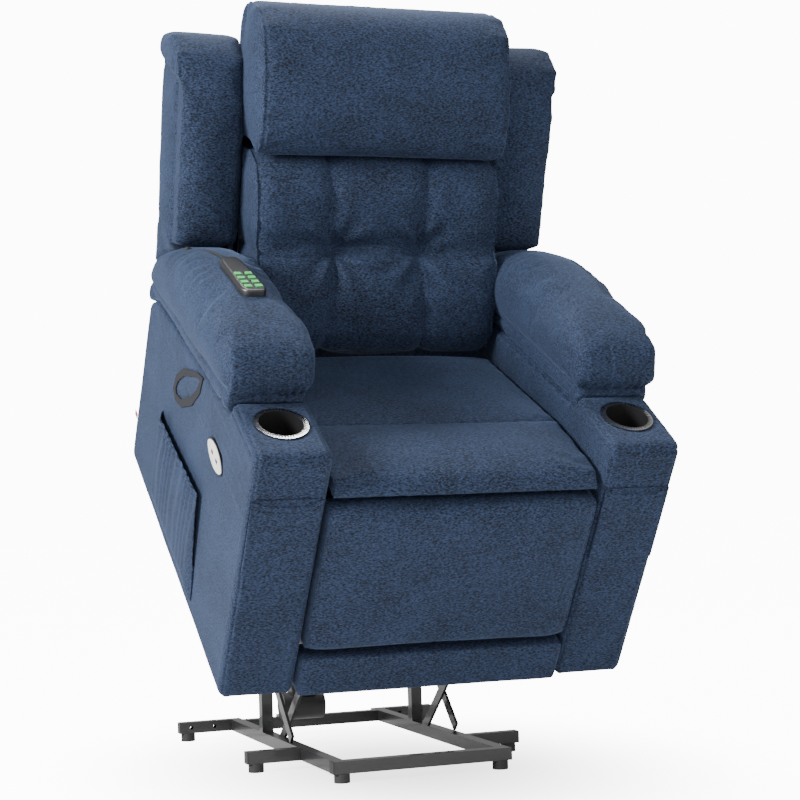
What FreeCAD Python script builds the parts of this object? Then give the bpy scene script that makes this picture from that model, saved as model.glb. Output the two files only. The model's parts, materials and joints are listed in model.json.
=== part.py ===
"""Power lift recliner chair, raised to the end of its lift.

Millimetres, +Z up, +X to the sitter's left, the chair faces -Y. Base pieces are laid out on the floor,
chair pieces in the chair's own level frame, back pieces in the leaning back's frame; each frame is then
put where the raised chair holds it.
"""
import FreeCAD, Part
import math
import os
import Sketcher

DOC = FreeCAD.newDocument("LiftRecliner")
Vector = FreeCAD.Vector
Turn = FreeCAD.Rotation
Place = FreeCAD.Placement
X_AXIS, Y_AXIS, Z_AXIS = Vector(1, 0, 0), Vector(0, 1, 0), Vector(0, 0, 1)
SIDES = (("left", 1), ("right", -1))

# ---------------------------------------------------------------- driving dimensions
SIZES = {
    # pose of the raised chair over its base
    "tilt": 34.0, "raised_y": -24.0, "raised_z": 186.0, "seated_y": 47.0, "seated_z": 58.0,
    "origin_y": 234.0,
    # base frame of square tube
    "tube": 25.0, "tube_wall": 1.5, "front_bar_len": 376.0, "rail_len": 765.0, "rail_half": 188.0,
    "mid_reach": 300.0, "mid_y": 222.0, "rear_reach": 308.0, "rear_y": 765.0, "cross_y": 735.0,
    "foot_high": 18.0, "foot_dia": 32.0, "foot_inset": 19.0, "cap_thick": 2.5,
    "anchor_hole": 8.0, "anchor_first": 40.0, "anchor_gap": 55.0,
    # lift linkage
    "post_y": 505.0, "post_top": 262.0, "plate": 6.0, "link_wide": 36.0, "pin_dia": 12.0,
    "pin_slack": 0.05, "open_slack": 2.4, "rear_swing": 41.35, "front_swing": 49.95,
    "rear_pivot_y": 717.0, "rear_pivot_z": 59.0, "front_pivot_y": 433.0, "front_pivot_z": 30.0,
    "beam_in": 156.0, "rear_link_in": 147.5, "front_link_in": 138.0, "hanger_in": 129.0,
    "torque_dia": 28.0, "torque_along": 280.0, "torque_rise": 16.0, "fork_gap": 20.5,
    "lift_lever": 75.0, "lift_lever_turn": 36.0, "lift_base_y": 700.0, "lift_base_z": 78.0,
    # actuators
    "eye_dia": 30.0, "eye_thick": 12.0, "rod_dia": 14.0, "sleeve_dia": 38.0, "sleeve_bore": 15.0,
    "sleeve_short": 110.0, "rod_back": 64.0,
    "ear_thick": 5.0, "ear_gap": 3.0, "bolt_dia": 10.0, "slot_slack": 3.0,
    "motor_dia": 62.0, "motor_len": 96.0, "lift_x": -62.0, "leg_x": 15.0, "recline_x": 84.0,
    # chassis
    "side_plate_in": 244.0, "shaft_dia": 25.0, "cross_bar_y": 415.0, "cross_bar_z": 240.0,
    "leg_pivot_y": 240.0, "leg_pivot_z": 305.0, "leg_knee_y": 250.0, "leg_knee_z": 45.0,
    "leg_end_y": 82.0, "leg_end_z": 240.0, "leg_link_wide": 24.0, "leg_link_in": 235.0, "leg_layer": 9.0,
    "leg_lever": 60.0, "leg_lever_turn": -75.0, "leg_swing": 76.6, "leg_base_y": 595.0, "leg_base_z": 152.0,
    "hinge_y": 640.0, "hinge_z": 310.0, "recline_lever": 80.0, "recline_lever_turn": -37.5,
    "recline_swing": 45.0, "axle_dia": 20.0,
    "recline_base_y": 402.0, "recline_base_z": 150.0,
    # seat
    "seat_half": 274.0, "seat_front": -8.0, "seat_rear": 600.0, "seat_under": 345.0,
    "seat_crown": 492.0, "seat_back_top": 418.0, "seat_lip": 446.0, "rail_thick": 22.0,
    "frame_front_y": 122.0, "frame_under": 297.0, "frame_high": 38.0, "wire_dia": 4.0, "wire_gap": 90.0,
    # arms
    "arm_in": 277.0, "arm_wide": 148.0, "arm_long": 855.0, "arm_front_high": 540.0,
    "arm_rear_high": 390.0, "console_top": 550.0, "console_len": 186.0, "arm_skin": 15.0,
    "panel_thick": 11.0, "soft_gap": 0.4, "pad_top": 672.0, "pad_over": 12.0,
    "pocket_deep": 12.0, "loop_thick": 3.0, "cup_y": 105.0, "cup_dia": 88.0, "cup_rim_dia": 104.0, "cup_deep": 78.0, "cup_wall": 2.0,
    # front rail and leg rest
    "band_top": 90.0, "band_front": -14.0, "band_deep": 56.0, "board_thick": 15.0,
    "flap_low": 103.0, "flap_top": 441.0, "flap_front": -18.0, "flap_board_y": 42.0,
    # back
    "back_y": 856.0, "back_z": 450.0, "lean": 16.7, "back_thick": 30.0, "wing_out": 420.0,
    "wing_in": 277.0, "wing_front": 145.0, "wing_top": 528.0, "wing_clear": 292.0, "back_half": 276.0,
    "cushion_low": -112.0, "cushion_top": 310.0, "cushion_half": 273.0,
    "head_low": 316.0, "head_top": 604.0, "head_half": 276.0, "head_front": 240.0,
    # handset and its cord
    "handset_long": 165.0, "handset_wide": 56.0, "handset_thick": 22.0, "key_wide": 13.0,
    "key_long": 10.0, "key_high": 4.0, "key_pitch": 20.0, "key_slack": 0.4, "key_stand": 1.6, "key_travel": 1.0,
    "cord_dia": 5.0,
}
SHEET = DOC.addObject("Spreadsheet::Sheet", "Sizes")
for row, (alias, value) in enumerate(SIZES.items(), start=1):
    SHEET.set("A%d" % row, alias)
    SHEET.set("B%d" % row, "%g" % value)
    SHEET.setAlias("B%d" % row, alias)
DOC.recompute()


class Dims:
    """The sheet's values, read by name."""

    def __getattr__(self, name):
        return float(SHEET.get(name))


d = Dims()


def bind(obj, prop, size):
    """Ties a property to an expression over the sheet, or sets a worked-out number."""
    if isinstance(size, str):
        words = sorted((w for w in SIZES if w in size), key=len, reverse=True)
        marked = size
        for i, word in enumerate(words):
            marked = marked.replace(word, "{%d}" % i)
        obj.setExpression(prop, marked.format(*("Sizes." + w for w in words)))
    else:
        setattr(obj, prop, size)


# ---------------------------------------------------------------- frames
FLOOR = Place(Vector(0, -d.origin_y, 0), Turn())
CHAIR = FLOOR * Place(Vector(0, d.raised_y, d.raised_z), Turn(X_AXIS, d.tilt))
BACK = CHAIR * Place(Vector(0, d.back_y, d.back_z), Turn(X_AXIS, -d.lean))
NODES = []


def node(obj, label, frame):
    """Names a finished sub-part and puts its own layout into a frame."""
    obj.Label = label
    obj.Placement = frame * obj.Placement
    NODES.append(obj)
    return obj


def box(name, size_x, size_y, size_z, at):
    """A block with its lowest corner at a point."""
    obj = DOC.addObject("Part::Box", name)
    bind(obj, "Length", size_x)
    bind(obj, "Width", size_y)
    bind(obj, "Height", size_z)
    obj.Placement = Place(Vector(*at), Turn())
    return obj


def rod(name, radius, length, at, axis=X_AXIS):
    """A cylinder that starts at a point and runs along an axis."""
    obj = DOC.addObject("Part::Cylinder", name)
    bind(obj, "Radius", radius)
    bind(obj, "Height", length)
    obj.Placement = Place(Vector(*at), Turn(Z_AXIS, axis))
    return obj


def group(name, parts):
    """Separate solids kept in one node."""
    obj = DOC.addObject("Part::Compound", name)
    obj.Links = parts
    return obj


def fuse(name, parts):
    """Pieces welded or moulded as one."""
    obj = DOC.addObject("Part::MultiFuse", name)
    obj.Shapes = parts
    obj.Refine = True
    return obj


def cut(name, base, tools):
    """A base with every tool taken away."""
    obj = DOC.addObject("Part::Cut", name)
    obj.Base = base
    obj.Tool = tools[0] if len(tools) == 1 else group(name + "_tools", tools)
    return obj


def plane_of(body, role):
    """One of a body's own origin planes."""
    return next(f for f in body.Origin.OriginFeatures if f.Role == role)


def profile(name, points, thick, start_x=0.0):
    """A side outline in (y, z), padded along +X from start_x."""
    body = DOC.addObject("PartDesign::Body", name)
    sketch = body.newObject("Sketcher::SketchObject", name + "_outline")
    sketch.AttachmentSupport = [(plane_of(body, "YZ_Plane"), "")]
    sketch.MapMode = "FlatFace"
    corners = [Vector(value_of(y), value_of(z), 0) for y, z in points]
    for here, there in zip(corners, corners[1:] + corners[:1]):
        sketch.addGeometry(Part.LineSegment(here, there), False)
    for i, (y, z) in enumerate(points):
        sketch.addConstraint(Sketcher.Constraint("Coincident", i, 1, (i - 1) % len(points), 2))
        hold(sketch, "DistanceX", i, y)
        hold(sketch, "DistanceY", i, z)
    pad = body.newObject("PartDesign::Pad", name + "_pad")
    pad.Profile = sketch
    bind(pad, "Length", thick)
    body.Tip = pad
    body.Placement = Place(Vector(start_x, 0, 0), Turn())
    return body


def value_of(size):
    """The number that an expression over the sheet comes to."""
    if isinstance(size, str):
        return float(sum_size(size))
    return float(size)


def sum_size(text):
    """Adds up an expression made of aliases, numbers and + - signs."""
    total = 0.0
    for term in text.replace("-", "+-").split("+"):
        term = term.strip()
        if not term:
            continue
        sign = -1.0 if term.startswith("-") else 1.0
        word = term.lstrip("- ")
        total += sign * (getattr(d, word) if word in SIZES else float(word))
    return total


def hold(sketch, kind, corner, size):
    """Places one corner of an outline from the sketch's origin."""
    index = sketch.addConstraint(Sketcher.Constraint(kind, -1, 1, corner, 1, value_of(size)))
    if isinstance(size, str):
        bind(sketch, "Constraints[%d]" % index, size)


def mirrored(inner, thick, sign):
    """Where a layer that starts at |x| = inner begins, on either side."""
    return inner if sign > 0 else -(inner + thick)


def turned(point, angle):
    """A (y, z) point turned about the X axis."""
    c, s = math.cos(math.radians(angle)), math.sin(math.radians(angle))
    return (c * point[0] - s * point[1], s * point[0] + c * point[1])


def plus(a, b):
    return (a[0] + b[0], a[1] + b[1])


def minus(a, b):
    return (a[0] - b[0], a[1] - b[1])


def heading(v):
    """The angle of a (y, z) direction, in degrees."""
    return math.degrees(math.atan2(v[1], v[0]))


def polar(length, angle):
    return turned((length, 0.0), angle)


# ---------------------------------------------------------------- lift linkage geometry
RAISED = (d.raised_y, d.raised_z)
SEATED = (d.seated_y, d.seated_z)
REAR_TOP = (d.rear_pivot_y, d.rear_pivot_z)
FRONT_TOP = (d.front_pivot_y, d.front_pivot_z)


def on_floor(chair_point):
    """A chair point of the raised chair, seen from the floor."""
    return plus(RAISED, turned(chair_point, d.tilt))


def base_pivot(chair_point, half_swing):
    """The base pivot about which a chair point swings from seated to raised."""
    high, low = on_floor(chair_point), plus(SEATED, chair_point)
    rise = minus(high, low)
    middle = ((high[0] + low[0]) / 2, (high[1] + low[1]) / 2)
    reach = 0.5 / math.tan(math.radians(half_swing))
    return (middle[0] - rise[1] * reach, middle[1] + rise[0] * reach)


REAR_BASE = base_pivot(REAR_TOP, d.rear_swing)
FRONT_BASE = base_pivot(FRONT_TOP, d.front_swing)
REAR_UP = minus(on_floor(REAR_TOP), REAR_BASE)
FRONT_UP = minus(on_floor(FRONT_TOP), FRONT_BASE)
TORQUE = plus(REAR_BASE, turned((d.torque_along, d.torque_rise), heading(REAR_UP)))
LIFT_EYE = plus(REAR_BASE, polar(d.lift_lever, heading(REAR_UP) + d.lift_lever_turn))
LIFT_FOOT = (d.lift_base_y, d.lift_base_z)


def link(name, start, end, wide, start_x, bores):
    """A flat link from start to end in (y, z), round at both ends, with a bore at each pivot."""
    span = minus(end, start)
    length = math.hypot(*span)
    bar = box(name + "_bar", "plate", length, wide, (0, 0, -value_of(wide) / 2))
    ends = [rod(name + "_end%d" % i, value_of(wide) / 2, "plate", (0, y, 0)) for i, y in enumerate((0, length))]
    solid = fuse(name + "_blank", [bar] + ends)
    holes = [rod(name + "_bore%d" % i, radius, "plate + 2", (-1, y, 0))
             for i, (radius, y) in enumerate(zip(bores, (0, length))) if radius]
    if holes:
        solid = cut(name, solid, holes)
    solid.Placement = Place(Vector(start_x, start[0], start[1]), Turn(X_AXIS, heading(span)))
    return solid


# ---------------------------------------------------------------- base
def square_tube(name, length, at, along):
    """A hollow square tube along X, Y or Z, its outside corner at a point."""
    sizes = ["tube", "tube", "tube"]
    sizes[along] = length
    bore = ["tube - 2 * tube_wall"] * 3
    bore[along] = length + 2 if not isinstance(length, str) else length + " + 2"
    shift = [d.tube_wall] * 3
    shift[along] = -1
    outer = box(name + "_outside", *sizes, at)
    inner = box(name + "_inside", *bore, tuple(a + s for a, s in zip(at, shift)))
    return cut(name, outer, [inner])


def base_frame():
    low = d.foot_high
    front = square_tube("front_bar", "front_bar_len", (-d.front_bar_len / 2, 0, low), 0)
    rails = [square_tube("rail_" + side, "rail_len", (mirrored(d.rail_half - d.tube, d.tube, sign), d.tube, low), 1)
             for side, sign in SIDES]
    node(group("rails", rails), "base_side_rails", FLOOR)
    inner_len = 2 * (d.rail_half - d.tube)
    cross = square_tube("cross_tube", inner_len, (-inner_len / 2, d.cross_y, low), 0)
    node(group("cross_bars", [front, cross]), "base_cross_bars", FLOOR)
    arms = []
    for side, sign in SIDES:
        for row, reach, y in (("mid", d.mid_reach, d.mid_y), ("rear", d.rear_reach, d.rear_y)):
            length = reach - d.rail_half
            start = mirrored(d.rail_half, length, sign)
            arm = square_tube("outrigger_%s_%s" % (row, side), length, (start, y, low), 0)
            if row == "rear":
                holes = [rod("anchor_%s_%d" % (side, i), "anchor_hole / 2", "tube + 2",
                             (sign * (d.rail_half + d.anchor_first + i * d.anchor_gap), y - 1, low + d.tube / 2),
                             Y_AXIS) for i in range(2)]
                arm = cut("outrigger_drilled_" + side, arm, holes)
            arms.append(arm)
    node(group("outriggers", arms), "base_outriggers", FLOOR)


def end_caps_and_feet():
    """A moulded cap in every open tube end, and a round foot under each corner."""
    low = d.foot_high
    caps, feet = [], []
    spots = [("front", d.front_bar_len / 2, 0.0), ("mid", d.mid_reach, d.mid_y), ("rear", d.rear_reach, d.rear_y)]
    for side, sign in SIDES:
        for row, reach, y in spots:
            name = "%s_%s" % (row, side)
            caps.append(box("cap_" + name, "cap_thick", "tube", "tube", (mirrored(reach, d.cap_thick, sign), y, low)))
            feet.append(rod("foot_" + name, "foot_dia / 2", "foot_high",
                            (sign * (reach - d.foot_inset), y + d.tube / 2, 0), Z_AXIS))
    node(group("caps", caps), "tube_end_caps", FLOOR)
    node(group("feet", feet), "levelling_feet", FLOOR)


def lift_tower():
    """Posts, pivot beams and crossed struts that hold the lower pivots, standing on the side rails."""
    deck = d.foot_high + d.tube
    tall = d.post_top - deck
    posts = [square_tube("post_" + side, tall, (mirrored(d.rail_half - d.tube, d.tube, sign), d.post_y, deck), 2)
             for side, sign in SIDES]
    node(group("posts", posts), "lift_posts", FLOOR)
    half = d.link_wide / 2
    y_front, z_front = FRONT_BASE
    y_rear, z_rear = REAR_BASE
    outline = [(y_front - half, z_front - half), (y_rear, z_rear - half - 4), (d.post_y + d.tube, d.post_top - d.link_wide),
               (d.post_y + d.tube, d.post_top), (y_rear - 4, z_rear + half), (y_front - half, z_front + half)]
    beams, struts = [], []
    for side, sign in SIDES:
        beam = profile("beam_" + side, outline, "plate", mirrored(d.beam_in, d.plate, sign))
        studs = []
        for pivot, layer in ((REAR_BASE, d.rear_link_in), (FRONT_BASE, d.front_link_in)):
            reach = d.beam_in - layer + 1.0
            studs.append(rod("stud_%s_%d" % (side, layer), "pin_dia / 2", reach + 1.0,
                             (mirrored(layer - 1.0, reach + 1.0, sign), pivot[0], pivot[1])))
        beams.append(fuse("beam_studded_" + side, [beam] + studs))
        for name, foot_y, top in (("rear", 300.0, (d.post_y - 6.0, d.post_top - 30.0)),
                                  ("front", 440.0, (y_front + 6.0, z_front - 4.0))):
            lean = heading(minus(top, (foot_y, deck)))
            width = 22.0
            run = math.hypot(top[0] - foot_y, top[1] - deck)
            layer = d.rail_half - d.plate if name == "rear" else d.beam_in + d.plate
            strut = box("strut_%s_%s" % (name, side), "plate", run, width, (0, 0, -width / 2))
            strut.Placement = Place(Vector(mirrored(layer, d.plate, sign), foot_y, deck + 1), Turn(X_AXIS, lean))
            below = box("strut_trim_%s_%s" % (name, side), 40, 200, 60, (mirrored(layer, d.plate, sign) - 15, foot_y - 100, deck - 60))
            tools = [below]
            if name == "rear":
                tools.append(box("strut_stop_" + side, 40, 60, 120, (mirrored(layer, d.plate, sign) - 15, d.post_y, d.post_top - 100)))
            struts.append(cut("strut_cut_%s_%s" % (name, side), strut, tools))
    node(group("beams", beams), "lift_pivot_beams", FLOOR)
    node(group("struts", struts), "lift_struts", FLOOR)


# ---------------------------------------------------------------- levers, links and actuators
def lever(name, hub, eye, centre_x, gap=d.eye_thick / 2 + d.ear_gap):
    """Two ears from a hub to an actuator's eye, with the bolt that crosses the eye."""
    back = heading(minus(hub, eye))
    outline = [plus(eye, polar(14.0, back + a)) for a in (90, 135, 180, 225, 270)]
    outline += [plus(hub, polar(15.0, back - 60)), plus(hub, polar(15.0, back + 60))]
    parts = [profile("%s_ear%d" % (name, i), outline, "ear_thick", centre_x + offset)
             for i, offset in enumerate((gap, -gap - d.ear_thick))]
    span = 2 * (gap + d.ear_thick) + 4
    return parts + [rod(name + "_bolt", "bolt_dia / 2", span, (centre_x - span / 2, eye[0], eye[1]))]


def clevis(name, pivot, outline, centre_x, seat):
    """Two ears and a bolt that hold an actuator's foot, joined by a mounting block."""
    gap = d.eye_thick / 2 + d.ear_gap
    parts = [seat] + [profile("%s_ear%d" % (name, i), outline, "ear_thick", centre_x + offset)
                      for i, offset in enumerate((gap, -gap - d.ear_thick))]
    span = 2 * (gap + d.ear_thick) + 4
    parts.append(rod(name + "_bolt", "bolt_dia / 2", span, (centre_x - span / 2, pivot[0], pivot[1])))
    return fuse(name, parts)


def lift_links():
    stud = "pin_dia / 2 + pin_slack"
    rear, front = [], []
    for side, sign in SIDES:
        bar = link("rear_link_" + side, REAR_BASE, on_floor(REAR_TOP), d.link_wide,
                   mirrored(d.rear_link_in, d.plate, sign), (stud, "shaft_dia / 2 + pin_slack"))
        rear.append(bar)
        front.append(link("front_link_" + side, FRONT_BASE, on_floor(FRONT_TOP), d.link_wide,
                          mirrored(d.front_link_in, d.plate, sign), (stud, "pin_dia / 2 + open_slack")))
    node(group("rear_links", rear), "rear_lift_links", FLOOR)
    node(group("front_links", front), "front_lift_links", FLOOR)
    bar = rod("torque_bar", "torque_dia / 2", 2 * d.rear_link_in, (-d.rear_link_in, TORQUE[0], TORQUE[1]))
    fork = lever("lift_lever", TORQUE, LIFT_EYE, d.lift_x, d.fork_gap)
    node(fuse("torque", [bar] + fork), "lift_torque_tube", FLOOR)


def actuator(name, foot, eye, centre_x, closed, slot_span, across, frame):
    """A screw actuator: a sleeve on its foot pivot and a rod with a cross-slotted eye that slides in it."""
    aim = minus(eye, foot)
    length = math.hypot(*aim)
    half_eye = d.eye_thick / 2
    spot = Place(Vector(centre_x, foot[0], foot[1]), Turn(X_AXIS, heading(aim)))
    start = 24.0
    parts = [rod(name + "_foot_eye", "eye_dia / 2", "eye_thick", (-half_eye, 0, 0)),
             box(name + "_neck", "eye_thick", 14.0, 20.0, (-half_eye, 12.0, -10.0)),
             rod(name + "_sleeve", "sleeve_dia / 2", closed - d.sleeve_short - start, (0, start, 0), Y_AXIS)]
    if across:
        parts.append(rod(name + "_motor_can", "motor_dia / 2", "motor_len", (-d.motor_len / 2, 70.0, 42.0)))
        parts.append(box(name + "_gear_box", 54.0, 70.0, 30.0, (-27.0, 35.0, 6.0)))
    else:
        parts.append(rod(name + "_motor_can", 21.0, 110.0, (0, 40.0, -42.0), Y_AXIS))
        parts.append(box(name + "_gear_box", 36.0, 50.0, 42.0, (-18.0, 28.0, -42.0)))
    bores = [rod(name + "_foot_bore", "bolt_dia / 2 + pin_slack", "eye_thick + 2", (-half_eye - 1, 0, 0)),
             rod(name + "_rod_bore", "sleeve_bore / 2", closed, (0, d.rod_back - 4.0, 0), Y_AXIS)]
    housing = cut(name + "_housing", fuse(name + "_housing_blank", parts), bores)
    housing.Placement = spot
    node(housing, name + "_actuator", frame)
    low, high = slot_span
    radius = d.bolt_dia / 2 + d.slot_slack
    rim = 8.0
    back = d.rod_back + length - closed
    shaft = rod(name + "_shaft", "rod_dia / 2", length - back - radius - 2, (0, back, 0), Y_AXIS)
    plate = box(name + "_eye_plate", "eye_thick", 2 * (radius + rim), high - low + 2 * (radius + rim),
                (-half_eye, length - radius - rim, low - radius - rim))
    slot = box(name + "_slot", "eye_thick + 2", 2 * radius, high - low, (-half_eye - 1, length - radius, low))
    rounds = [rod("%s_slot_end%d" % (name, i), radius, "eye_thick + 2", (-half_eye - 1, length, z))
              for i, z in enumerate((low, high))]
    piece = cut(name + "_eye", fuse(name + "_rod_blank", [shaft, plate]), [slot] + rounds)
    piece.Placement = spot
    node(piece, name + "_rod", frame)


def lift_actuator():
    y, z = LIFT_FOOT
    deck = d.foot_high + d.tube
    ears = [(y - 15, z - 8), (y - 13, z + 10), (y + 15, z + 14), (d.cross_y + d.tube, deck + 12),
            (d.cross_y + d.tube, deck), (d.cross_y, deck)]
    block = box("lift_clevis_seat", 40.0, "tube", 6.0, (d.lift_x - 20.0, d.cross_y, deck))
    node(clevis("lift_clevis", LIFT_FOOT, ears, d.lift_x, block), "lift_actuator_clevis", FLOOR)
    seated_eye = plus(REAR_BASE, polar(d.lift_lever, heading(REAR_UP) + d.lift_lever_turn - 2 * d.rear_swing))
    closed = math.hypot(*minus(seated_eye, LIFT_FOOT))
    actuator("lift", LIFT_FOOT, LIFT_EYE, d.lift_x, closed, (-20.0, 1.0), True, FLOOR)


# ---------------------------------------------------------------- chassis
LEG_PIVOT = (d.leg_pivot_y, d.leg_pivot_z)
LEG_KNEE = (d.leg_knee_y, d.leg_knee_z)
LEG_END = (d.leg_end_y, d.leg_end_z)
BACK_PIVOT = (d.hinge_y, d.hinge_z)
LEG_FOOT = (d.leg_base_y, d.leg_base_z)
RECLINE_FOOT = (d.recline_base_y, d.recline_base_z)


def chassis():
    outline = [(46, 30), (800, 30), (800, 110), (680, 332), (200, 332), (180, 108), (46, 108)]
    plates = []
    for side, sign in SIDES:
        blank = profile("side_plate_blank_" + side, outline, "plate", mirrored(d.side_plate_in, d.plate, sign))
        bores = [rod("axle_bore_%s_%d" % (side, i), "axle_dia / 2 + pin_slack", "plate + 2",
                     (mirrored(d.side_plate_in - 1, d.plate + 2, sign), y, z))
                 for i, (y, z) in enumerate((LEG_PIVOT, BACK_PIVOT))]
        plates.append(cut("side_plate_" + side, blank, bores))
    node(group("side_plates", plates), "chassis_side_plates", CHAIR)
    reach = d.side_plate_in
    bars = [rod("lift_shaft", "shaft_dia / 2", 2 * reach, (-reach, REAR_TOP[0], REAR_TOP[1])),
            box("mid_bar", 2 * reach, "tube", "tube", (-reach, d.cross_bar_y, d.cross_bar_z)),
            box("fore_bar", 2 * reach, "tube", "tube", (-reach, 284.0, 264.0)),
            box("aft_bar", 2 * reach, "tube", "tube", (-reach, 612.0, 122.0))]
    hangers = []
    y, z = FRONT_TOP
    for side, sign in SIDES:
        drop = [(y - 18, z - 15), (y + 18, z - 15), (d.cross_bar_y + d.tube, d.cross_bar_z), (d.cross_bar_y, d.cross_bar_z)]
        hangers.append(profile("hanger_" + side, drop, "plate", mirrored(d.hanger_in, d.plate, sign)))
        pin_len = d.front_link_in + d.plate + 1 - d.hanger_in - d.plate
        hangers.append(rod("hanger_pin_" + side, "pin_dia / 2", pin_len,
                           (mirrored(d.hanger_in + d.plate, pin_len, sign), y, z)))
    feet = clevis("recline_clevis", RECLINE_FOOT, [(412, 240), (432, 240), (412, 178), (413, 138), (388, 138), (388, 164)],
                  d.recline_x, box("recline_clevis_seat", 40.0, 21.0, 4.0, (d.recline_x - 20.0, 417.0, 237.0)))
    legs = clevis("leg_clevis", LEG_FOOT, [(583, 139), (583, 165), (618, 165), (634, 147), (634, 140), (612, 124)],
                  d.leg_x, box("leg_clevis_seat", 40.0, 20.0, 4.0, (d.leg_x - 20.0, 612.0, 147.0)))
    node(fuse("cross_work", bars + hangers + [feet, legs]), "chassis_cross_members", CHAIR)


def seat():
    half = d.seat_half - 2
    rail = d.rail_thick
    low, high = d.frame_under, d.frame_high
    top = low + high
    rear_y = d.seat_rear - rail - 3
    parts = [box("seat_rail_" + side, rail, rear_y + rail - d.frame_front_y, high,
                 (mirrored(half - rail, rail, sign), d.frame_front_y, low)) for side, sign in SIDES]
    parts.append(box("seat_rail_front", 2 * half, rail, 20.0, (-half, d.frame_front_y - rail, top - 16)))
    between = d.side_plate_in
    parts.append(box("seat_rail_rear", 2 * between, rail, high - 6, (-between, rear_y, low + 6)))
    node(group("seat_rails", parts), "seat_frame", CHAIR)
    springs = []
    count = 5
    for i in range(count):
        x = (i - (count - 1) / 2) * d.wire_gap
        turns = 13
        pitch = (rear_y - d.frame_front_y) / turns
        points = [Vector(x, d.frame_front_y, top - 4)]
        for k in range(turns):
            points.append(Vector(x + (20 if k % 2 else -20), d.frame_front_y + (k + 0.5) * pitch, top - 4))
        points.append(Vector(x, rear_y, top - 4))
        springs.append(wire_tube("spring_%d" % i, points, "wire_dia"))
    node(group("springs", springs), "seat_springs", CHAIR)
    front, rear, under = "seat_front", "seat_rear", "seat_under"
    outline = [(front, "seat_lip"), (front, "seat_lip + 22"), (16, "seat_crown - 2"), (60, "seat_crown"),
               (220, "seat_crown - 14"), (525, "seat_back_top"), (rear, "seat_back_top - 14"), (rear, under),
               (80, under), (80, "seat_lip")]
    node(profile("seat_pad", outline, "seat_half * 2", -d.seat_half), "seat_cushion", CHAIR)


def wire_tube(name, points, dia_name):
    """A round wire bent through points, each bend a tangent arc of 0.45 times the shorter run."""
    wire, radii = rounded(points)
    ring = Part.Wire(Part.makeCircle(getattr(d, dia_name) / 2, points[0], points[1] - points[0]))
    tube = DOC.addObject("Part::Feature", name)
    tube.Shape = wire.makePipeShell([ring], True, True)
    return tube


def rounded(points):
    """Straight runs joined by tangent arcs, and the radius of each arc."""
    edges, radii = [], []
    start = points[0]
    for before, corner, after in zip(points, points[1:], points[2:]):
        into, out = (corner - before), (after - corner)
        shorter = min(into.Length, out.Length)
        into.normalize()
        out.normalize()
        half = into.getAngle(out) / 2
        set_back = 0.45 * shorter
        radii.append(set_back / math.tan(half))
        near, far = corner - into * set_back, corner + out * set_back
        middle = (out - into).normalize()
        crown = corner + middle * (radii[-1] / math.cos(half) - radii[-1])
        edges.append(Part.makeLine(start, near))
        edges.append(Part.Arc(near, crown, far).toShape())
        start = far
    edges.append(Part.makeLine(start, points[-1]))
    return Part.Wire(edges), radii


def front_and_rear():
    half = d.seat_half
    front = box("band_blank", 2 * half, "band_deep", "band_top", (-half, d.band_front, 0))
    node(front, "front_panel", CHAIR)
    node(box("rear_board", 2 * d.back_half, "board_thick", 182.0, (-d.back_half, d.arm_long - d.board_thick, 0)),
         "rear_panel", CHAIR)
    node(box("control", 110.0, 60.0, 46.0, (104.0, 780.0, 50.0)), "control_box", CHAIR)
    supply = [box("supply_block", 96.0, 56.0, 60.0, (-216.0, 784.0, 40.0)),
              box("supply_collar", 34.0, 8.0, 26.0, (-185.0, d.arm_long, 56.0))]
    node(group("supply", supply), "power_supply", CHAIR)


# ---------------------------------------------------------------- arms
ARM_TOP_SLOPE = (d.arm_rear_high + 39.0 - 525.0) / 604.0


def arm_outline(inset):
    """The arm's side outline in (y, z), moved inwards by an inset."""
    high, rear = d.console_top - inset, d.arm_long - inset
    return [(inset, inset), (rear, inset), (rear, d.arm_rear_high - inset), (804 - inset, d.arm_rear_high + 39 - inset),
            (200, 525 - inset), (d.console_len - inset, 527 - inset), (d.console_len - inset, high), (12 + inset, high),
            (inset, high - 12)]


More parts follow.
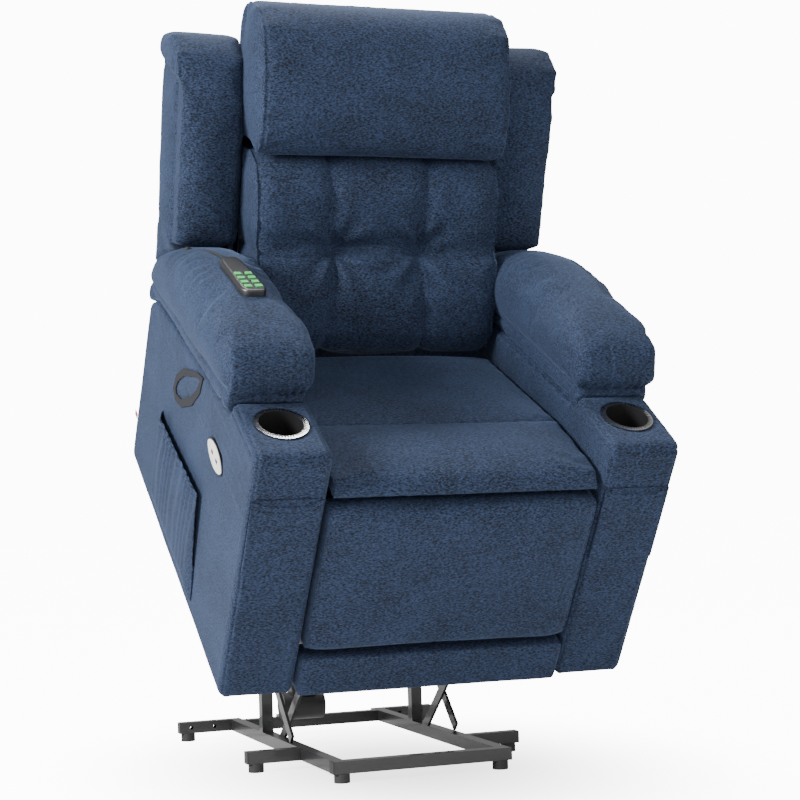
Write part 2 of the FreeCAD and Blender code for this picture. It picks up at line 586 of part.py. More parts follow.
def arms():
    frames, cups = [], []
    deep = d.cup_deep
    for side, sign in SIDES:
        centre = sign * (d.arm_in + d.arm_wide / 2)
        skin = d.arm_skin
        shell = profile("arm_outside_" + side, arm_outline(0), "arm_wide", mirrored(d.arm_in, d.arm_wide, sign))
        tools = [profile("arm_hollow_" + side, arm_outline(skin), d.arm_wide - 2 * skin,
                         mirrored(d.arm_in + skin, d.arm_wide - 2 * skin, sign)),
                 rod("cup_bore_" + side, "cup_dia / 2 + soft_gap", skin + 2,
                     (centre, d.cup_y, d.console_top - skin - 1), Z_AXIS)]
        if side == "right":
            tools.append(box("usb_mouth", skin + 2, 80.8, 30.8, (-(d.arm_in + d.arm_wide) - 1, 232 - 40.4, 400 - 15.4)))
        node(cut("arm_" + side, shell, tools), "arm_cover_" + side, CHAIR)
        board = d.panel_thick
        inner = d.arm_in + skin + 0.3
        outer = d.arm_in + d.arm_wide - skin - 0.3 - board
        plates = [profile("arm_ply_%s_%d" % (side, i), arm_outline(skin + 0.3), board, mirrored(x, board, sign))
                  for i, x in enumerate((inner, outer))]
        gap = outer - inner - board
        inside = mirrored(inner + board, gap, sign)
        blocks = [box("arm_block_%s_%d" % (side, i), gap, 40.0, 60.0, (inside, y, z))
                  for i, (y, z) in enumerate(((40, 60), (780, 60), (780, 300), (300, 400)))]
        whole = fuse("arm_frame_" + side, plates + blocks)
        if side == "right":
            whole = cut("arm_frame_cut", whole, [box("usb_room", 40, 84.0, 34.0, (-(outer + board) - 1, 232 - 42, 400 - 17))])
        frames.append(whole)
        top = d.console_top
        body = rod("cup_body_" + side, "cup_dia / 2", deep, (centre, d.cup_y, top - deep), Z_AXIS)
        rim = rod("cup_rim_" + side, "cup_rim_dia / 2", 3.0, (centre, d.cup_y, top), Z_AXIS)
        well = rod("cup_well_" + side, "cup_dia / 2 - cup_wall", deep + 10, (centre, d.cup_y, top - deep + d.cup_wall), Z_AXIS)
        cups.append(cut("cup_" + side, fuse("cup_blank_" + side, [body, rim]), [well]))
    node(group("arm_frames_all", frames), "arm_frames", CHAIR)
    node(group("cups", cups), "cup_holders", CHAIR)


PAD_RISE = ((205, 650), (270, 670), (450, 662), (600, 632), (720, 583), (800, 530), (842, 455))


def arm_pads():
    gap = d.soft_gap
    start = d.console_len + gap
    outline = [(start, 525 + gap + 2.6), (start, 600)] + list(PAD_RISE)
    outline += [(846, d.arm_rear_high + 10), (804, d.arm_rear_high + 39 + gap + 0.4)]
    for side, sign in SIDES:
        node(profile("pad_" + side, outline, "arm_wide + pad_over", mirrored(d.arm_in, d.arm_wide + d.pad_over, sign)),
             "arm_pad_" + side, CHAIR)


def side_fittings():
    """Charging plate, pocket, strap and tag on the sitter's right arm, and the pockets on both fronts."""
    wall = d.arm_in + d.arm_wide
    y, z = 232.0, 400.0
    plate = [box("usb_flat", 3.4, 64.0, 46.0, (-wall - 3.4, y - 32, z - 23))]
    plate += [rod("usb_end%d" % i, 23.0, 3.4, (-wall - 3.4, y + offset, z)) for i, offset in enumerate((-32, 32))]
    plate.append(box("usb_block", 13.0, 80.0, 30.0, (-wall, y - 40, z - 15)))
    ports = [box("usb_port%d" % i, 12.0, 14.0, 7.0, (-wall - 4, y + offset - 7, z - 3.5))
             for i, offset in enumerate((-17, 17))]
    node(cut("usb_all", fuse("usb_blank", plate), ports), "usb_plate", CHAIR)
    outer = [(258, 34), (642, 30), (642, 250), (284, 282)]
    room = [(268, 44), (632, 40), (632, 400), (268, 400)]
    cloth = 2.5
    deep = d.pocket_deep
    sheet = profile("pocket_outside", outer, deep + cloth, -wall - deep - cloth)
    hollow = profile("pocket_room", room, deep + 1, -wall - deep)
    node(cut("pocket", sheet, [hollow]), "side_pocket", CHAIR)
    pockets = []
    for side, sign in SIDES:
        x = mirrored(d.arm_in + 6, d.arm_wide - 10, sign)
        pockets.append(box("front_pocket_" + side, d.arm_wide - 10, 5.0, 168.0, (x, -5.0, 290.0)))
    node(group("front_pocket_pair", pockets), "front_pockets", CHAIR)
    node(box("tag", 1.2, 20.0, 12.0, (-wall + 2, d.arm_long, 95.0)), "seam_tag", CHAIR)
    ring = [(378, 486), (420, 474), (520, 424), (566, 382), (578, 344), (552, 330), (500, 344), (430, 392), (386, 446)]
    hole = [(396, 470), (426, 460), (508, 414), (548, 378), (560, 354), (548, 346), (508, 358), (446, 402), (404, 446)]
    band = profile("loop_outside", ring, "loop_thick", -wall - d.loop_thick)
    node(cut("loop", band, [profile("loop_inside", hole, "loop_thick + 2", -wall - d.loop_thick - 1)]), "pull_loop", CHAIR)


# ---------------------------------------------------------------- handset
HANDSET = CHAIR * Place(Vector(-360, 435, 663.6), Turn(X_AXIS, -5.0)) * Place(Vector(), Turn(Z_AXIS, 5.0))


def handset():
    long, wide, thick = d.handset_long, d.handset_wide, d.handset_thick
    case = box("handset_block", "handset_wide", "handset_long", "handset_thick", (-wide / 2, -long / 2, 0.6))
    DOC.recompute()
    soft = DOC.addObject("Part::Fillet", "handset_round")
    soft.Base = case
    soft.Edges = [(i + 1, 7.0, 7.0) for i, e in enumerate(case.Shape.Edges)
                  if abs(e.tangentAt(e.FirstParameter).y) > 0.9 or abs(e.tangentAt(e.FirstParameter).z) > 0.9]
    top = thick + 0.6
    recess = d.key_high - d.key_stand + d.key_travel + 0.4
    tools = []
    for row in range(4):
        for col in range(2):
            spot = (-11.0 + 22.0 * col, 20.0 - long / 2 + d.key_pitch * row)
            tools.append(box("key_well_%d_%d" % (row, col), "key_wide + 2 * key_slack", "key_long + 2 * key_slack",
                             recess + 1, (spot[0] - d.key_wide / 2 - d.key_slack,
                                          spot[1] - d.key_long / 2 - d.key_slack, top - recess)))
            key = box("key_%d_%d" % (row, col), "key_wide", "key_long", "key_high",
                      (spot[0] - d.key_wide / 2, spot[1] - d.key_long / 2, top - d.key_high + d.key_stand))
            node(key, "handset_key_%d%s" % (row + 1, "ab"[col]), HANDSET)
    node(cut("handset_all", soft, tools), "handset", HANDSET)


def handset_cord():
    start = HANDSET.multVec(Vector(0, d.handset_long / 2, d.handset_thick / 2 + 0.6))
    start = CHAIR.inverse().multVec(start)
    route = [start, start + Vector(-6, 45, -9), start + Vector(-17, 100, -29), start + Vector(-31, 147, -55)]
    boot_axis = Vector(0, 120, -49).normalize()
    route.append(route[-1] + boot_axis * 20 + Vector(-2, 0, 0))
    wire, radii = rounded(route)
    print("handset cord radii mm", [round(r, 1) for r in radii], "length", round(wire.Length, 1))
    tube = wire_tube("cord", route, "cord_dia")
    section = math.pi * (d.cord_dia / 2) ** 2
    print("cord volume against section x length", round(tube.Shape.Volume / (section * wire.Length), 4))
    node(tube, "handset_cord", CHAIR)
    print("cord route row frame mm", [tuple(round(c, 2) for c in CHAIR.multVec(p)) for p in route])
    aim = route[-1] - route[-2]
    boot = rod("boot", 6.5, 18.0, tuple(route[-1]), aim)
    node(boot, "cord_grommet", CHAIR)


# ---------------------------------------------------------------- leg rest
def leg_rest():
    y, z = LEG_PIVOT
    bore = "pin_dia / 2 + pin_slack"
    lower, upper, brackets = [], [], []
    mid_in = d.leg_link_in - d.leg_layer
    low_in = mid_in - d.leg_layer
    for side, sign in SIDES:
        bar = link("leg_lower_" + side, LEG_PIVOT, LEG_KNEE, d.leg_link_wide, mirrored(d.leg_link_in, d.plate, sign), (0, 0))
        stud_len = d.leg_link_in - mid_in + 1
        lower.append(bar)
        lower.append(rod("knee_stud_" + side, "pin_dia / 2", stud_len,
                         (mirrored(d.leg_link_in - stud_len, stud_len, sign), LEG_KNEE[0], LEG_KNEE[1])))
        upper.append(link("leg_upper_" + side, LEG_KNEE, LEG_END, d.leg_link_wide, mirrored(mid_in, d.plate, sign), (bore, bore)))
        ey, ez = LEG_END
        board_y = d.flap_board_y + d.board_thick
        shape = [(board_y, ez - 50), (ey + 6, ez - 14), (ey + 14, ez), (ey + 6, ez + 14), (board_y, ez + 50)]
        brackets.append(profile("flap_bracket_" + side, shape, "plate", mirrored(low_in, d.plate, sign)))
        pin_len = mid_in + d.plate + 1 - low_in - d.plate
        brackets.append(rod("flap_stud_" + side, "pin_dia / 2", pin_len,
                            (mirrored(low_in + d.plate, pin_len, sign), ey, ez)))
    reach = d.side_plate_in + d.plate - 0.5
    axle = rod("leg_axle", "axle_dia / 2", 2 * reach, (-reach, y, z))
    eye = plus(LEG_PIVOT, polar(d.leg_lever, d.leg_lever_turn))
    node(fuse("leg_lower_all", lower + [axle] + lever("leg_lever", LEG_PIVOT, eye, d.leg_x)), "leg_drive_links", CHAIR)
    node(group("leg_upper_all", upper), "leg_upper_links", CHAIR)
    board_half = d.seat_half - 20
    board = box("flap_board", 2 * board_half, "board_thick", d.flap_top - d.flap_low - 16,
                (-board_half, d.flap_board_y, d.flap_low + 8))
    node(fuse("flap_all", [board] + brackets), "leg_rest_board", CHAIR)
    front, rear = "flap_front", "flap_board_y - soft_gap"
    outline = [("flap_front + 12", "flap_low"), (rear, "flap_low"), (rear, "flap_top"), ("flap_front + 12", "flap_top"),
               (front, "flap_top - 14"), (front, "flap_low + 14")]
    node(profile("flap_pad", outline, "seat_half * 2 + 3", -(d.seat_half + 1.5)), "leg_rest_pad", CHAIR)
    closed = math.hypot(*minus(eye, LEG_FOOT))
    actuator("leg", LEG_FOOT, eye, d.leg_x, closed, (-1.0, 15.0), False, CHAIR)


# ---------------------------------------------------------------- back
def in_back(chair_point):
    """A chair (y, z) point in the back's own frame."""
    return turned(minus(chair_point, (d.back_y, d.back_z)), d.lean)


def lean_out(n, s):
    """A point n in front of the back's rear plane and s up it, as (y, z)."""
    return (-n, s)


def backrest():
    hub = in_back(BACK_PIVOT)
    rail, deep = 30.0, 45.0
    outer = 262.0
    low, high = -120.0, 480.0
    parts = []
    for side, sign in SIDES:
        parts.append(box("back_upright_" + side, rail, deep, high - low, (mirrored(outer - rail, rail, sign), -40.0, low)))
        arm = [lean_out(n, s) for n, s in ((0, -120), (0, -60), (38, -60), (38, -117), (98, -147), (126, -159),
                                           (184, -174), (190, -208), (152, -218), (60, -178))]
        parts.append(profile("back_hinge_" + side, arm, "plate", mirrored(outer - rail - d.plate, d.plate, sign)))
    inner = outer - rail
    parts += [box("back_rail_%d" % i, 2 * inner, deep, 40.0, (-inner, -40.0, s)) for i, s in enumerate((-20.0, 200.0, 440.0))]
    reach = d.side_plate_in + d.plate + 2
    parts.append(rod("back_axle", "axle_dia / 2", 2 * reach, (-reach, hub[0], hub[1])))
    eye = plus(BACK_PIVOT, polar(d.recline_lever, d.recline_lever_turn))
    parts += lever("recline_lever", hub, in_back(eye), d.recline_x)
    node(fuse("back_frame_all", parts), "back_frame", BACK)
    cover_low = -120.0
    half = d.back_half
    node(box("back_cover_blank", 2 * half, d.back_thick - 5.0, 605.0, (-half, 5.0, cover_low)), "back_cover", BACK)
    front = -40.4
    swell = [(front, "cushion_low"), (-105, "cushion_low"), (-125, "cushion_low - 33"), (-195, "cushion_low - 33"),
             (-215, "cushion_low"), (-235, "cushion_low"), (-262, -70), (-268, 10), (-255, 90), (-232, 112),
             (-240, 150), (-232, 230), (-205, 285), (-150, "cushion_top"), (front, "cushion_top")]
    node(profile("back_pad", swell, "cushion_half * 2", -d.cushion_half), "back_cushion", BACK)
    crown = [(front, "head_low"), (-150, "head_low"), (-208, "head_low - 24"), (-236, 330), ("-head_front", 400),
             (-232, 480), (-205, 560), (-150, 598), (-90, "head_top"), (-55, 592), (front, 560)]
    node(profile("head_pad", crown, "head_half * 2", -d.head_half), "headrest", BACK)
    arc = [plus(hub, polar(d.wing_clear, a)) for a in (47.6, 57.0, 66.5, 76.0, 85.7)]
    top = d.wing_top
    wing = arc + [lean_out(148, 396), lean_out(126, 486), lean_out(70, top), lean_out(-10, top - 4),
                  lean_out(-29.6, top - 24)]
    for side, sign in SIDES:
        wide = d.wing_out - d.wing_in
        node(profile("wing_" + side, wing, wide, mirrored(d.wing_in, wide, sign)), "wing_" + side, BACK)
    reclined = plus(BACK_PIVOT, polar(d.recline_lever, d.recline_lever_turn - d.recline_swing))
    closed = math.hypot(*minus(reclined, RECLINE_FOOT))
    actuator("recline", RECLINE_FOOT, eye, d.recline_x, closed, (-7.0, 1.0), False, CHAIR)


base_frame()
end_caps_and_feet()
lift_tower()
lift_links()
lift_actuator()
chassis()
seat()
front_and_rear()
arms()
arm_pads()
side_fittings()
handset()
handset_cord()
leg_rest()
backrest()
DOC.recompute()
bad = [o.Name for o in DOC.Objects if "Invalid" in o.State or "Error" in o.State]
assert not bad, bad
os.makedirs("parts", exist_ok=True)
for piece in NODES:
    assert not piece.Shape.isNull() and piece.Shape.isValid(), piece.Label
    piece.Shape.exportStep("parts/%s.step" % piece.Label)
    print(piece.Label, len(piece.Shape.Solids), round(piece.Shape.Volume / 1000.0, 1))
print(len(NODES), "nodes")
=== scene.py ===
"""Looks for the lift recliner: upholstery, finishes, floor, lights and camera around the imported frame.

Metres. Upholstery is shaped in the chair's own level frame, or in the leaning back's frame, and is then
put where the raised chair holds it.
"""

import json
import math

import bmesh
import bpy
import numpy as np
from mathutils import Matrix, Vector


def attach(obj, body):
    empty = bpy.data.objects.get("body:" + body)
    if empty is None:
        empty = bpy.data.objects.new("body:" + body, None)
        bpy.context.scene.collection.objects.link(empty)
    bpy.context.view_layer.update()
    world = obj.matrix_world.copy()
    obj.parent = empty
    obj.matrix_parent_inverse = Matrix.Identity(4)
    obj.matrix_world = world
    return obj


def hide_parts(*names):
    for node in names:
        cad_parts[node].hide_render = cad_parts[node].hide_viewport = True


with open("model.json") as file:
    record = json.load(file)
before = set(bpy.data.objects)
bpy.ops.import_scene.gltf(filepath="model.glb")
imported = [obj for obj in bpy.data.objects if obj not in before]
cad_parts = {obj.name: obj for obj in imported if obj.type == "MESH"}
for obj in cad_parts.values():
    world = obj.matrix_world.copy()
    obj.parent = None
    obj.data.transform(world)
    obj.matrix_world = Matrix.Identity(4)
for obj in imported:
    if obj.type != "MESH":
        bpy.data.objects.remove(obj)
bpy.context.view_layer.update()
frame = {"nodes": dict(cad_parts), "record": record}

# ---------------------------------------------------------------- frames, the same as the CAD's
ORIGIN_Y = 0.234
TILT = math.radians(34.0)
LEAN = math.radians(16.7)
CHAIR = Matrix.Translation((0, -0.024 - ORIGIN_Y, 0.186)) @ Matrix.Rotation(TILT, 4, "X")
BACK = CHAIR @ Matrix.Translation((0, 0.856, 0.450)) @ Matrix.Rotation(-LEAN, 4, "X")
ARM_IN, ARM_OUT = 0.277, 0.425
CUP_X, CUP_Y = (ARM_IN + ARM_OUT) / 2, 0.105
PLATE_Y, PLATE_Z = 0.232, 0.400


# ---------------------------------------------------------------- materials
def new_material(name):
    mat = bpy.data.materials.new(name)
    mat.use_nodes = True
    return mat, mat.node_tree.nodes, mat.node_tree.links, mat.node_tree.nodes["Principled BSDF"]


def add(nodes, kind, **values):
    node = nodes.new(kind)
    for key, value in values.items():
        if key in node.inputs:
            node.inputs[key].default_value = value
        else:
            setattr(node, key, value)
    return node


def streaks(nodes, links, coords, turn, scale, stretch):
    """Noise drawn out along one diagonal, which lies across every face it meets."""
    spin = add(nodes, "ShaderNodeMapping", vector_type="POINT")
    spin.inputs["Rotation"].default_value = turn
    spin.inputs["Scale"].default_value = (scale * stretch, scale, scale)
    links.new(coords, spin.inputs["Vector"])
    noise = add(nodes, "ShaderNodeTexNoise", Scale=1.0, Detail=2.0, Roughness=0.6)
    links.new(spin.outputs["Vector"], noise.inputs["Vector"])
    return noise.outputs["Fac"]


def math_node(nodes, links, operation, a, b):
    node = add(nodes, "ShaderNodeMath", operation=operation)
    for socket, value in zip(node.inputs, (a, b)):
        if isinstance(value, (int, float)):
            socket.default_value = value
        else:
            links.new(value, socket)
    return node.outputs[0]


def chenille(name, dark, light, scale=430.0):
    """Soft ribbed cloth: two crossing sets of short diagonal streaks, a napped sheen and slow shade drift."""
    mat, nodes, links, shader = new_material(name)
    coords = add(nodes, "ShaderNodeTexCoord").outputs["Object"]
    first = streaks(nodes, links, coords, (0.62, 0.5, 0.785), scale, 0.45)
    second = streaks(nodes, links, coords, (-0.62, 0.3, -0.785), scale * 0.8, 0.5)
    fine = math_node(nodes, links, "MULTIPLY", math_node(nodes, links, "ADD", first, second), 0.5)
    nap = add(nodes, "ShaderNodeTexNoise", Scale=9.0, Detail=3.0, Roughness=0.55)
    links.new(coords, nap.inputs["Vector"])
    mixed = math_node(nodes, links, "ADD", math_node(nodes, links, "MULTIPLY", fine, 0.88),
                      math_node(nodes, links, "MULTIPLY", nap.outputs["Fac"], 0.12))
    ramp = add(nodes, "ShaderNodeValToRGB")
    ramp.color_ramp.elements[0].position = 0.39
    ramp.color_ramp.elements[0].color = (*dark, 1)
    ramp.color_ramp.elements[1].position = 0.61
    ramp.color_ramp.elements[1].color = (*light, 1)
    links.new(mixed, ramp.inputs["Fac"])
    links.new(ramp.outputs["Color"], shader.inputs["Base Color"])
    bump = add(nodes, "ShaderNodeBump", Strength=0.5, Distance=0.0016)
    links.new(fine, bump.inputs["Height"])
    links.new(bump.outputs["Normal"], shader.inputs["Normal"])
    shader.inputs["Roughness"].default_value = 0.85
    shader.inputs["Specular IOR Level"].default_value = 0.25
    shader.inputs["Sheen Weight"].default_value = 0.16
    shader.inputs["Sheen Roughness"].default_value = 0.4
    shader.inputs["Sheen Tint"].default_value = (0.35, 0.5, 0.85, 1)
    return mat


def finish(name, color, rough, metallic=0.0, grain=220.0, depth=0.0002, spread=0.12, coat=0.0):
    """A painted, moulded or metal surface with fine grain and a slight drift in colour and gloss."""
    mat, nodes, links, shader = new_material(name)
    coords = add(nodes, "ShaderNodeTexCoord").outputs["Object"]
    noise = add(nodes, "ShaderNodeTexNoise", Scale=grain, Detail=4.0, Roughness=0.6)
    links.new(coords, noise.inputs["Vector"])
    slow = add(nodes, "ShaderNodeTexNoise", Scale=14.0, Detail=2.0)
    links.new(coords, slow.inputs["Vector"])
    ramp = add(nodes, "ShaderNodeValToRGB")
    ramp.color_ramp.elements[0].position = 0.3
    ramp.color_ramp.elements[0].color = (*[c * (1 - spread) for c in color], 1)
    ramp.color_ramp.elements[1].position = 0.7
    ramp.color_ramp.elements[1].color = (*[min(1, c * (1 + spread)) for c in color], 1)
    links.new(slow.outputs["Fac"], ramp.inputs["Fac"])
    links.new(ramp.outputs["Color"], shader.inputs["Base Color"])
    gloss = add(nodes, "ShaderNodeMapRange")
    gloss.inputs["To Min"].default_value = max(0.02, rough - 0.06)
    gloss.inputs["To Max"].default_value = min(1.0, rough + 0.06)
    links.new(noise.outputs["Fac"], gloss.inputs["Value"])
    links.new(gloss.outputs["Result"], shader.inputs["Roughness"])
    bump = add(nodes, "ShaderNodeBump", Strength=0.3, Distance=depth)
    links.new(noise.outputs["Fac"], bump.inputs["Height"])
    links.new(bump.outputs["Normal"], shader.inputs["Normal"])
    shader.inputs["Metallic"].default_value = metallic
    shader.inputs["Coat Weight"].default_value = coat
    return mat


def wood_material():
    mat, nodes, links, shader = new_material("plywood")
    coords = add(nodes, "ShaderNodeTexCoord").outputs["Object"]
    wave = add(nodes, "ShaderNodeTexWave", Scale=14.0, Distortion=5.0, Detail=3.0)
    links.new(coords, wave.inputs["Vector"])
    ramp = add(nodes, "ShaderNodeValToRGB")
    ramp.color_ramp.elements[0].color = (0.42, 0.27, 0.14, 1)
    ramp.color_ramp.elements[1].color = (0.62, 0.45, 0.27, 1)
    links.new(wave.outputs["Fac"], ramp.inputs["Fac"])
    links.new(ramp.outputs["Color"], shader.inputs["Base Color"])
    bump = add(nodes, "ShaderNodeBump", Strength=0.2, Distance=0.0004)
    links.new(wave.outputs["Fac"], bump.inputs["Height"])
    links.new(bump.outputs["Normal"], shader.inputs["Normal"])
    shader.inputs["Roughness"].default_value = 0.7
    return mat


NAVY = chenille("chenille", (0.0006, 0.0013, 0.0040), (0.024, 0.041, 0.088))
LOOKS = {
    "frame_paint": finish("frame_paint", (0.012, 0.012, 0.013), 0.38, coat=0.25),
    "cap_plastic": finish("cap_plastic", (0.010, 0.010, 0.010), 0.55),
    "foot_rubber": finish("foot_rubber", (0.012, 0.012, 0.012), 0.75),
    "motor_plastic": finish("motor_plastic", (0.012, 0.012, 0.013), 0.5, grain=500.0),
    "rod_steel": finish("rod_steel", (0.55, 0.55, 0.56), 0.28, metallic=1.0),
    "spring_steel": finish("spring_steel", (0.25, 0.25, 0.25), 0.4, metallic=1.0),
    "frame_wood": wood_material(),
    "chenille": NAVY,
    "cup_metal": finish("cup_metal", (0.5, 0.5, 0.5), 0.12, metallic=1.0),
    "plate_plastic": finish("plate_plastic", (0.72, 0.72, 0.70), 0.3, coat=0.3),
    "tag_fabric": finish("tag_fabric", (0.42, 0.04, 0.05), 0.8, grain=900.0),
    "loop_webbing": finish("loop_webbing", (0.0012, 0.0020, 0.0055), 0.9, grain=900.0, depth=0.0006),
    "handset_plastic": finish("handset_plastic", (0.012, 0.012, 0.013), 0.35, grain=600.0),
    "key_plastic": finish("key_plastic", (0.05, 0.40, 0.10), 0.45, grain=600.0),
    "cord_rubber": finish("cord_rubber", (0.012, 0.012, 0.012), 0.6),
}
for part in frame["record"]["subparts"]:
    obj = frame["nodes"][part["node"]]
    obj.data.materials.clear()
    obj.data.materials.append(LOOKS[part["material_slot"]])
# The back frame shows above the rear cover, so its rails wear the cover's cloth.
frame["nodes"]["back_frame"].data.materials[0] = NAVY


# ---------------------------------------------------------------- mesh tools
def coords_of(mesh):
    flat = np.empty(len(mesh.vertices) * 3)
    mesh.vertices.foreach_get("co", flat)
    return flat.reshape(-1, 3)


def set_coords(mesh, points):
    mesh.vertices.foreach_set("co", points.ravel())
    mesh.update()


def normals_of(mesh):
    flat = np.empty(len(mesh.vertices) * 3)
    mesh.vertex_normals.foreach_get("vector", flat)
    return flat.reshape(-1, 3)


def edges_of(mesh):
    flat = np.empty(len(mesh.edges) * 2, dtype=np.int64)
    mesh.edges.foreach_get("vertices", flat)
    return flat.reshape(-1, 2)


def relax(mesh, steps, hold=None):
    """Rounds a mesh by moving each point towards the mean of its neighbours."""
    points, edges = coords_of(mesh), edges_of(mesh)
    count = np.bincount(edges.ravel(), minlength=len(points))[:, None]
    weight = 0.5 if hold is None else 0.5 * (1 - hold)[:, None]
    for _ in range(steps):
        total = np.zeros_like(points)
        np.add.at(total, edges[:, 0], points[edges[:, 1]])
        np.add.at(total, edges[:, 1], points[edges[:, 0]])
        points += weight * (total / count - points)
    set_coords(mesh, points)


def object_from(name, mesh, place):
    obj = bpy.data.objects.new(name, mesh)
    obj.matrix_world = place
    bpy.context.scene.collection.objects.link(obj)
    return obj


def apply_modifiers(obj):
    deps = bpy.context.evaluated_depsgraph_get()
    mesh = bpy.data.meshes.new_from_object(obj.evaluated_get(deps))
    old = obj.data
    obj.modifiers.clear()
    obj.data = mesh
    bpy.data.meshes.remove(old)
    return obj


def skin_of(name, node, place, voxel):
    """The node's solid as an even mesh in its own level frame."""
    mesh = frame["nodes"][node].data.copy()
    mesh.transform(place.inverted())
    obj = object_from(name, mesh, place)
    remesh = obj.modifiers.new("remesh", "REMESH")
    remesh.mode = "VOXEL"
    remesh.voxel_size = voxel
    return apply_modifiers(obj)


def inflate(obj, hold, cap, pressure=4.0, stiff=12.0, bend=0.4):
    """Fills the cover with pressure while the seams hold, and caps how far a point moves."""
    mesh = obj.data
    before = coords_of(mesh)
    group = obj.vertex_groups.new(name="seams")
    for weight in np.unique(np.round(hold, 1)):
        if weight > 0:
            group.add([int(i) for i in np.nonzero(np.round(hold, 1) == weight)[0]], float(weight), "REPLACE")
    cloth = obj.modifiers.new("cloth", "CLOTH")
    cloth.settings.quality = 4
    cloth.settings.use_pressure = True
    cloth.settings.uniform_pressure_force = pressure
    cloth.settings.tension_stiffness = stiff
    cloth.settings.compression_stiffness = stiff
    cloth.settings.shear_stiffness = stiff * 0.5
    cloth.settings.bending_stiffness = bend
    cloth.settings.vertex_group_mass = "seams"
    cloth.settings.pin_stiffness = 1.0
    cloth.settings.effector_weights.gravity = 0
    scene = bpy.context.scene
    for step in range(1, 21):
        scene.frame_set(step)
    apply_modifiers(obj)
    scene.frame_set(1)
    after = coords_of(obj.data)
    move = after - before
    length = np.linalg.norm(move, axis=1, keepdims=True)
    soft_cap = cap * np.tanh(length / cap)
    set_coords(obj.data, before + move * soft_cap / np.maximum(length, 1e-9))


def subdivided(obj):
    level = obj.modifiers.new("smooth", "SUBSURF")
    level.levels = 1
    level.render_levels = 1
    apply_modifiers(obj)


def finish_piece(obj, body, nodes, material):
    obj.data.materials.clear()
    obj.data.materials.append(material)
    obj.data.shade_smooth()
    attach(obj, body)
    if nodes:
        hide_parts(*nodes)
    return obj


def ripple(points, scale, seed):
    """Smooth pseudo-random field from a few crossing sine waves, for folds and slack."""
    rng = np.random.RandomState(seed)
    total = np.zeros(len(points))
    for _ in range(7):
        direction = rng.normal(size=3)
        direction /= np.linalg.norm(direction)
        total += np.sin(points @ direction * scale * rng.uniform(0.6, 1.5) + rng.uniform(0, 6.28))
    return total / 7


def valley(distance, width):
    return np.exp(-(distance / width) ** 2)


def cushion(name, node, body, place, seams, voxel=0.007, rounding=12, shrink=0.003, cap=0.016, pressure=4.0,
            slack=0.0010, seam_depth=0.005, seam_wide=0.014, extra=None, gathers=None):
    """A stuffed piece: the node's solid rounded and drawn in at its seams, then filled by cloth pressure.

    seams(points, normals) gives each point's distance to the nearest seam, extra(points, normals) a changed
    shape before the filling, and gathers(points, normals) how far out the last folds stand.
    """
    obj = skin_of(name, node, place, voxel)
    mesh = obj.data
    relax(mesh, rounding)
    points, normals = coords_of(mesh), normals_of(mesh)
    near = seams(points, normals)
    points = points - normals * (shrink + seam_depth * valley(near, seam_wide))[:, None]
    if extra is not None:
        points = extra(points, normals)
    set_coords(mesh, points)
    inflate(obj, valley(near, 0.007), cap, pressure)
    subdivided(obj)
    points, normals = coords_of(obj.data), normals_of(obj.data)
    near = seams(points, normals)
    crease = valley(near, 0.0035) * 0.0022
    puckers = ripple(points, 260.0, 3) * valley(near, 0.03) * slack * 0.9
    folds = ripple(points, 60.0, 5) * slack
    if gathers is not None:
        folds = folds + gathers(points, normals)
    set_coords(obj.data, points + normals * (puckers + folds - crease)[:, None])
    return finish_piece(obj, body, (node,), NAVY)


# ---------------------------------------------------------------- upholstery
def seat_seams(p, n):
    cross = np.hypot(p[:, 1] - 0.225, np.maximum(0, 0.44 - p[:, 2]))
    nose = np.hypot(p[:, 2] - 0.452, np.maximum(0, p[:, 1] - 0.03))
    side = np.hypot(np.abs(p[:, 0]) - 0.268, np.maximum(0, 0.40 - p[:, 2]))
    return np.minimum(np.minimum(cross, nose), side)


cushion("seat_cushion_soft", "seat_cushion", "chassis", CHAIR, seat_seams, cap=0.014, rounding=6,
        shrink=0.002)

TUFT_X, TUFT_S = 0.093, 0.104


def back_seams(p, n):
    """Two upright seams and one level seam that cross at two tufts, and the border seam at both sides."""
    front = np.maximum(0, p[:, 1] + 0.10)
    spread = TUFT_X * (1 + 0.18 * np.abs(p[:, 2] - TUFT_S) / 0.2)
    upright = np.hypot(np.abs(p[:, 0]) - spread, front)
    level = np.hypot(p[:, 2] - TUFT_S - 0.012 * np.cos(p[:, 0] * 17.0), front)
    border = np.hypot(np.abs(p[:, 0]) - 0.262, np.maximum(0, p[:, 1] + 0.06))
    return np.minimum(np.minimum(upright, level), border)


def back_pull(p, n):
    """The tufts draw the cover in deepest, with folds that run out from them."""
    out = p.copy()
    front = 1 / (1 + np.exp((p[:, 1] + 0.13) * 60))
    for sign in (-1, 1):
        dx, ds = p[:, 0] - sign * TUFT_X, p[:, 2] - TUFT_S
        r = np.hypot(dx, ds)
        around = np.arctan2(ds, dx)
        out[:, 1] += front * (0.020 * valley(r, 0.022) + 0.012 * valley(r, 0.07))
        out[:, 1] += front * 0.0040 * np.cos(around * 7 + sign) * valley(r - 0.05, 0.04)
    return out


cushion("back_cushion_soft", "back_cushion", "backrest", BACK, back_seams, cap=0.022, rounding=5,
        seam_depth=0.008, seam_wide=0.016, extra=back_pull, pressure=5.0, shrink=0.0015)


def head_seams(p, n):
    ends = np.abs(np.abs(p[:, 0]) - 0.262)
    top = np.hypot(p[:, 1] + 0.085, np.maximum(0, 0.56 - p[:, 2]))
    return np.minimum(ends, top)


cushion("headrest_soft", "headrest", "backrest", BACK, head_seams, cap=0.020, rounding=8, pressure=5.0,
        seam_depth=0.003, shrink=0.001)

CAP_LOW = 0.446


